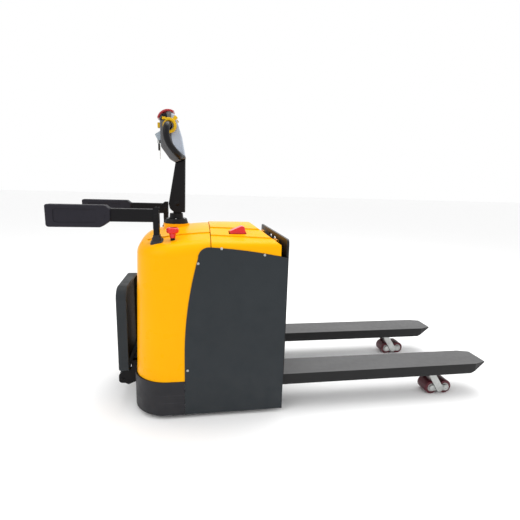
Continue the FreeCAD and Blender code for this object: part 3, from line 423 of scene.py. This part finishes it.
def join_rings(bm, rings):
    """Joins rings of vertices into one band."""
    count = len(rings[0])
    for lower, upper in zip(rings, rings[1:]):
        for i in range(count):
            j = (i + 1) % count
            bm.faces.new((lower[i], lower[j], upper[j], upper[i]))


def close_rings(bm, rings):
    """Joins rings of vertices, from the bottom up, into one closed skin."""
    join_rings(bm, rings)
    bm.faces.new(list(reversed(rings[0])))
    bm.faces.new(rings[-1])


def frame_of(axis):
    """Matrix whose Z is the axis."""
    return Vector(axis).to_track_quat("Z", "Y").to_matrix().to_4x4()


def add_lathe(bm, profile, centre, axis, steps=36, six_inside=0.0):
    """Revolves (radius, height) points round an axis; radii up to six_inside become a hexagon."""
    turn = Matrix.Translation(centre) @ frame_of(axis)
    rings = []
    for radius, height in profile:
        ring = []
        for i in range(steps):
            angle = 2 * math.pi * i / steps
            reach = radius
            if 0 < radius <= six_inside:
                reach = radius / math.cos((angle % (math.pi / 3)) - math.pi / 6)
            point = Vector((reach * math.cos(angle), reach * math.sin(angle), height))
            ring.append(bm.verts.new(turn @ point))
        rings.append(ring)
    close_rings(bm, rings)


def socket_head(bm, centre, axis, radius, height):
    """Round-topped screw head with a hexagon socket."""
    socket = radius * 0.48
    profile = [(radius * 0.98, -SINK), (radius, height * 0.25), (radius * 0.93, height * 0.62),
               (radius * 0.74, height * 0.9), (radius * 0.56, height), (socket, height * 0.97),
               (socket * 0.97, height * 0.3), (socket * 0.4, height * 0.22)]
    add_lathe(bm, profile, Vector(centre), axis, six_inside=socket)


def hex_bolt(bm, centre, axis, radius, height):
    """Flanged hexagon bolt head."""
    flat = radius * 0.62
    profile = [(radius * 0.98, -SINK), (radius, height * 0.12), (radius * 0.94, height * 0.24),
               (flat, height * 0.3), (flat, height * 0.86), (flat * 0.86, height),
               (flat * 0.2, height)]
    add_lathe(bm, profile, Vector(centre), axis, six_inside=flat)


# ---- panel screws: round heads with hexagon sockets ----

def panel_screws():
    """One head for each screw of the CAD piece, which is found by its outermost vertices."""
    same_screw = 0.016
    face_band = 0.0002
    head_radius = 0.006
    bm = bmesh.new()
    panel_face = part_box("side_panel_left")[1].y
    source = nodes["panel_screws"].data
    head_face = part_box("panel_screws")[1].y
    seen = []
    for vertex in source.vertices:
        if abs(vertex.co.y) > head_face - face_band:
            near = [c for c in seen if (c["first"] - vertex.co).length < same_screw]
            if near:
                near[0]["count"] += 1
                near[0]["total"] += vertex.co
            else:
                seen.append({"first": vertex.co.copy(), "count": 1, "total": vertex.co.copy()})
    for screw in seen:
        centre = screw["total"] / screw["count"]
        side = 1 if centre.y > 0 else -1
        centre.y = side * panel_face
        socket_head(bm, centre, (0, side, 0), head_radius, head_face - panel_face)
    return mesh_object("panel_screw_heads", bm, zinc, "chassis")


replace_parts(panel_screws(), "panel_screws")


# ---- ribbed platform mat ----

def platform_mat():
    """Rubber mat: a base sheet with rounded ribs across its standing face."""
    low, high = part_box("platform_mat")
    corner = 0.046              # radius of the upper corners
    ribs = 34
    across = 20                 # faces along one rib
    rib_depth = 0.0022
    rim_depth = 0.001           # how far the outer edge lies below the valleys between ribs
    wave = (0.0, 0.75, 1.0, 0.75)
    bm = bmesh.new()
    rows = ribs * len(wave)
    grid = []
    for i in range(rows + 1):
        z = low.z + (high.z - low.z) * i / rows
        cut = 0.0
        if z > high.z - corner:
            rise = (z - (high.z - corner)) / corner
            cut = corner * (1 - math.sqrt(max(0.0, 1 - rise * rise)))
        half = high.y - cut
        crest = wave[i % len(wave)]
        row = []
        for j in range(across + 1):
            y = -half + 2 * half * j / across
            edge = j in (0, across) or i in (0, rows)
            x = high.x - rib_depth - rim_depth if edge else high.x - rib_depth * (1 - crest)
            row.append(bm.verts.new((x, y, z)))
        grid.append(row)
    for lower, upper in zip(grid, grid[1:]):
        for j in range(across):
            bm.faces.new((lower[j], lower[j + 1], upper[j + 1], upper[j]))
    rim = grid[0] + [row[-1] for row in grid[1:-1]] + grid[-1][::-1] + [row[0] for row in grid[-2:0:-1]]
    back = [bm.verts.new((low.x, vertex.co.y, vertex.co.z)) for vertex in rim]
    join_rings(bm, [rim, back])
    bm.faces.new(back)
    return mesh_object("platform_rib_mat", bm, mat_rubber, "platform")


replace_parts(platform_mat(), "platform_mat")


# ---- moulded boots at the feet of the guard posts ----

def arm_boots():
    """Flared boots: a flange that follows the cover, a sloping body with one fold, and a collar."""
    cover = BVHTree.FromObject(nodes["front_cover"], bpy.context.evaluated_depsgraph_get())
    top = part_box("arm_boots")[1].z
    post_low, post_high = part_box("arm_posts")
    x = (post_low.x + post_high.x) / 2
    y = abs(joint_place("guard_left_lift")[1])
    # rows from the foot up: half sizes along x and y, share of the way up, then metres above it
    rows = ((0.0285, 0.0325, 0.0, -0.006), (0.0285, 0.0325, 0.0, 0.0022), (0.0275, 0.0315, 0.0, 0.0036),
            (0.0238, 0.0285, 0.0, 0.0042), (0.0205, 0.0258, 0.42, 0.0), (0.0215, 0.0268, 0.5, 0.0),
            (0.0205, 0.0258, 0.6, 0.0), (0.0162, 0.0228, 1.0, -0.006), (0.0168, 0.0236, 1.0, -0.005),
            (0.0168, 0.0236, 1.0, -0.0012), (0.0158, 0.0226, 1.0, 0.0), (0.0134, 0.0204, 1.0, 0.0))
    around = 48
    squareness = 0.45           # 1 is an ellipse, towards 0 a rectangle
    probe = 0.1                 # the rays that find the cover start this far above the collar
    bm = bmesh.new()
    for side in (1, -1):
        rings = []
        for half_x, half_y, share, rise in rows:
            ring = []
            for i in range(around):
                angle = 2 * math.pi * i / around
                c, s = math.cos(angle), math.sin(angle)
                px = x + half_x * math.copysign(abs(c) ** squareness, c)
                py = side * y + half_y * math.copysign(abs(s) ** squareness, s)
                foot = cover.ray_cast(Vector((px, py, top + probe)), Vector((0, 0, -1)))[0].z
                ring.append(bm.verts.new((px, py, foot + (top - foot) * share + rise)))
            rings.append(ring)
        close_rings(bm, rings)
    return mesh_object("guard_post_boots", bm, boot_plastic, "chassis")


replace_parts(arm_boots(), "arm_boots")


# ---- caps, bolts and hubs ----

def hub_caps():
    """Turned cap over each end of the load-roller axles; the back ones stay thin, because the load arm
    swings down past them."""
    plate = 0.009               # from the end of the bogie's pivot pin back to its side plate
    foot = (0.0175, -0.001)
    cap = ((0.0175, 0.0022), (0.0158, 0.0034), (0.0118, 0.0034), (0.0105, 0.0022), (0.0068, 0.0022),
           (0.0056, 0.0044), (0.002, 0.0047))
    for side in ("left", "right"):
        bm = bmesh.new()
        low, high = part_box("bogie_" + side)
        for place, proud in (("front", 1.0), ("back", 0.16)):
            centre = middle(f"roller_{place}_{side}")
            profile = [foot] + [(radius, height * proud) for radius, height in cap]
            for y, out in ((high.y - plate, 1), (low.y + plate, -1)):
                add_lathe(bm, profile, Vector((centre.x, y, centre.z)), (0, out, 0), 40)
        mesh_object("roller_hub_caps_" + side, bm, zinc, "bogie_" + side)


hub_caps()


def tiller_pivot_bolts():
    """Bolt head at each end of the tiller's pivot."""
    radius, height = 0.0125, 0.006
    bm = bmesh.new()
    pivot = Vector(joint_place("tiller_tilt"))
    low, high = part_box("tiller_arm")
    for y, out in ((high.y, 1), (low.y, -1)):
        hex_bolt(bm, (pivot.x, y, pivot.z), (0, out, 0), radius, height)
    mesh_object("tiller_pivot_bolts", bm, black_paint, "steering")


tiller_pivot_bolts()


def flange_bolts():
    """Screws round the foot of the tiller column."""
    from_rim = 0.0125
    radius, height = 0.0042, 0.0026
    bm = bmesh.new()
    low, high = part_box("tiller_flange")
    centre = (low + high) / 2
    ring = (high.x - low.x) / 2 - from_rim
    for i in range(6):
        angle = math.pi * (i + 0.5) / 3
        point = centre + Vector((ring * math.cos(angle), ring * math.sin(angle), 0))
        point.z = high.z
        socket_head(bm, point, (0, 0, 1), radius, height)
    mesh_object("flange_screws", bm, zinc, "chassis")


flange_bolts()


def guard_pivot_pins():
    """Domed pin heads on the outside of each forked post."""
    profile = [(0.0092, -SINK), (0.0092, 0.0006), (0.0082, 0.0016), (0.0055, 0.0022), (0.0015, 0.0024)]
    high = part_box("arm_posts")[1]
    for side, label in ((1, "left"), (-1, "right")):
        pivot = Vector(joint_place(f"guard_{label}_lift"))
        inner = 2 * abs(pivot.y) - high.y
        bm = bmesh.new()
        for reach, out in ((high.y, side), (inner, -side)):
            add_lathe(bm, profile, Vector((pivot.x, side * reach, pivot.z)), (0, out, 0), 32)
        mesh_object("guard_pivot_pins_" + label, bm, black_paint, "chassis")


guard_pivot_pins()


def hand_grips():
    """Moulded loop grips: one smooth bend from the throttle hub down to the foot of the head."""
    low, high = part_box("hand_grips")
    radius = 0.0158
    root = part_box("head_shell")[1].y - 0.006
    reach = high.y - radius
    front = low.x + radius
    foot_x = high.x - radius
    foot_z = low.z + radius
    hub_x, _, hub_z = joint_place("throttle_turn")
    tall = hub_z - foot_z
    # from the hub out to the hand, down along the side of the head, and in to the foot
    route = [(hub_x, root, hub_z), (hub_x - 0.004, root + 0.035, hub_z + 0.001),
             (front + 0.006, reach - 0.004, hub_z - 0.002),
             (front - 0.001, reach, hub_z - 0.3 * tall),
             (front + 0.009, reach - 0.003, hub_z - 0.6 * tall),
             (front + 0.036, reach - 0.01, hub_z - 0.84 * tall),
             (foot_x - 0.004, reach - 0.03, foot_z), (foot_x, root + 0.03, foot_z),
             (foot_x, root - 0.002, foot_z)]
    for side, label in ((1, "left"), (-1, "right")):
        curve = bpy.data.curves.new("grip_route_" + label, "CURVE")
        curve.dimensions = "3D"
        spline = curve.splines.new("NURBS")
        spline.points.add(len(route) - 1)
        for point, (x, y, z) in zip(spline.points, route):
            point.co = (x, side * y, z, 1)
        spline.order_u = 4
        spline.use_endpoint_u = True
        spline.resolution_u = 12
        curve.bevel_depth = radius
        curve.bevel_resolution = 8
        curve.use_fill_caps = True
        curve.materials.append(grip_rubber)
        grip = bpy.data.objects.new("hand_grip_" + label, curve)
        bpy.context.scene.collection.objects.link(grip)
        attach(grip, "tiller")
        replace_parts(grip, "hand_grips")


hand_grips()


def display_glass():
    """Dark glass window on the sloping top of the display box."""
    low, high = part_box("display_box")
    glass = surface("display_glass", GLASS, 0.08, coat=0.8, mottle=0.05, grain=0.000005, soft_edge=0.0)
    bm = bmesh.new()
    start = Vector((low.x + 0.0041, 0, high.z - 0.0134))    # middle of the window's lower edge
    along = Vector((0.026, 0, 0.017)).normalized()          # up the slope of the box's top
    out = Vector((-along.z, 0, along.x))
    half = 0.024                                            # half width
    length = 0.019
    corner = 0.003
    outline = []
    for cx, cy, first in ((half - corner, length - corner, 0), (corner - half, length - corner, 90),
                          (corner - half, corner, 180), (half - corner, corner, 270)):
        for step in range(7):
            angle = math.radians(first + 15 * step)
            outline.append((cx + corner * math.cos(angle), cy + corner * math.sin(angle)))
    centre = length / 2
    rings = []
    for inset, height in ((0.0, -0.001), (0.0, 0.0006), (0.0008, 0.0011)):
        shrink = 1 - inset / half
        ring = []
        for y, s in outline:
            place = start + along * (centre + (s - centre) * shrink) + out * height
            ring.append(bm.verts.new(place + Vector((0, y * shrink, 0))))
        rings.append(ring)
    close_rings(bm, rings)
    mesh_object("display_window", bm, glass, "tiller", smooth=False)


display_glass()


# ---- floor, light and camera ----

FLOOR_HALF = 40.0
LIGHTS = (                  # name, place, aim, energy, size
    ("key", (-3.0, -2.2, 3.0), (-0.3, 0, 0.6), 26.0, 2.2),
    ("fill", (2.8, -2.4, 2.2), (0.1, 0, 0.4), 6.0, 3.0),
    ("top", (0.4, 0.6, 4.0), (0, 0, 0.4), 110.0, 3.2),
)
CAMERA_PLACE = (-0.46, -2.0123, 1.1018)
CAMERA_TURN = (9.62, 11.14, 1.69)           # degrees: towards the fork tips, down, and roll
CAMERA_LENS = 25.94
SENSOR_WIDTH = 36.0
CLIP_END = 200.0


def studio():
    """White floor, even white surroundings and three soft lamps."""
    floor_mesh = bpy.data.meshes.new("floor")
    bm = bmesh.new()
    corners = [bm.verts.new((x * FLOOR_HALF, y * FLOOR_HALF, 0))
               for x, y in ((-1, -1), (1, -1), (1, 1), (-1, 1))]
    bm.faces.new(corners)
    bm.to_mesh(floor_mesh)
    bm.free()
    floor = bpy.data.objects.new("floor", floor_mesh)
    material = bpy.data.materials.new("floor_white")
    material.use_nodes = True
    inputs = material.node_tree.nodes["Principled BSDF"].inputs
    inputs["Base Color"].default_value = FLOOR_WHITE
    inputs["Roughness"].default_value = 0.9
    floor_mesh.materials.append(material)
    bpy.context.scene.collection.objects.link(floor)

    world = bpy.data.worlds.new("studio")
    world.use_nodes = True
    background = world.node_tree.nodes["Background"]
    background.inputs["Color"].default_value = WHITE
    background.inputs["Strength"].default_value = 1.0
    bpy.context.scene.world = world

    for name, place, aim, energy, size in LIGHTS:
        light = bpy.data.lights.new(name, "AREA")
        light.energy = energy
        light.size = size
        lamp = bpy.data.objects.new(name, light)
        lamp.location = place
        direction = Vector(aim) - Vector(place)
        lamp.rotation_euler = direction.to_track_quat("-Z", "Y").to_euler()
        bpy.context.scene.collection.objects.link(lamp)


def camera():
    """Camera of the main view: from the near side, a little above and turned towards the fork tips."""
    yaw, pitch, roll = (math.radians(a) for a in CAMERA_TURN)
    level = math.cos(pitch)
    forward = Vector((math.sin(yaw) * level, math.cos(yaw) * level, -math.sin(pitch)))
    right = Vector((math.cos(yaw), -math.sin(yaw), 0))
    up = right.cross(forward)
    side = right * math.cos(roll) + up * math.sin(roll)
    top = up * math.cos(roll) - right * math.sin(roll)
    data = bpy.data.cameras.new("camera")
    data.sensor_width = SENSOR_WIDTH
    data.lens = CAMERA_LENS
    data.clip_end = CLIP_END
    made = bpy.data.objects.new("camera", data)
    rotation = Matrix((side, top, -forward)).transposed().to_4x4()
    made.matrix_world = Matrix.Translation(CAMERA_PLACE) @ rotation
    bpy.context.scene.collection.objects.link(made)
    bpy.context.scene.camera = made


studio()
camera()
bpy.context.scene.view_settings.view_transform = "Standard"
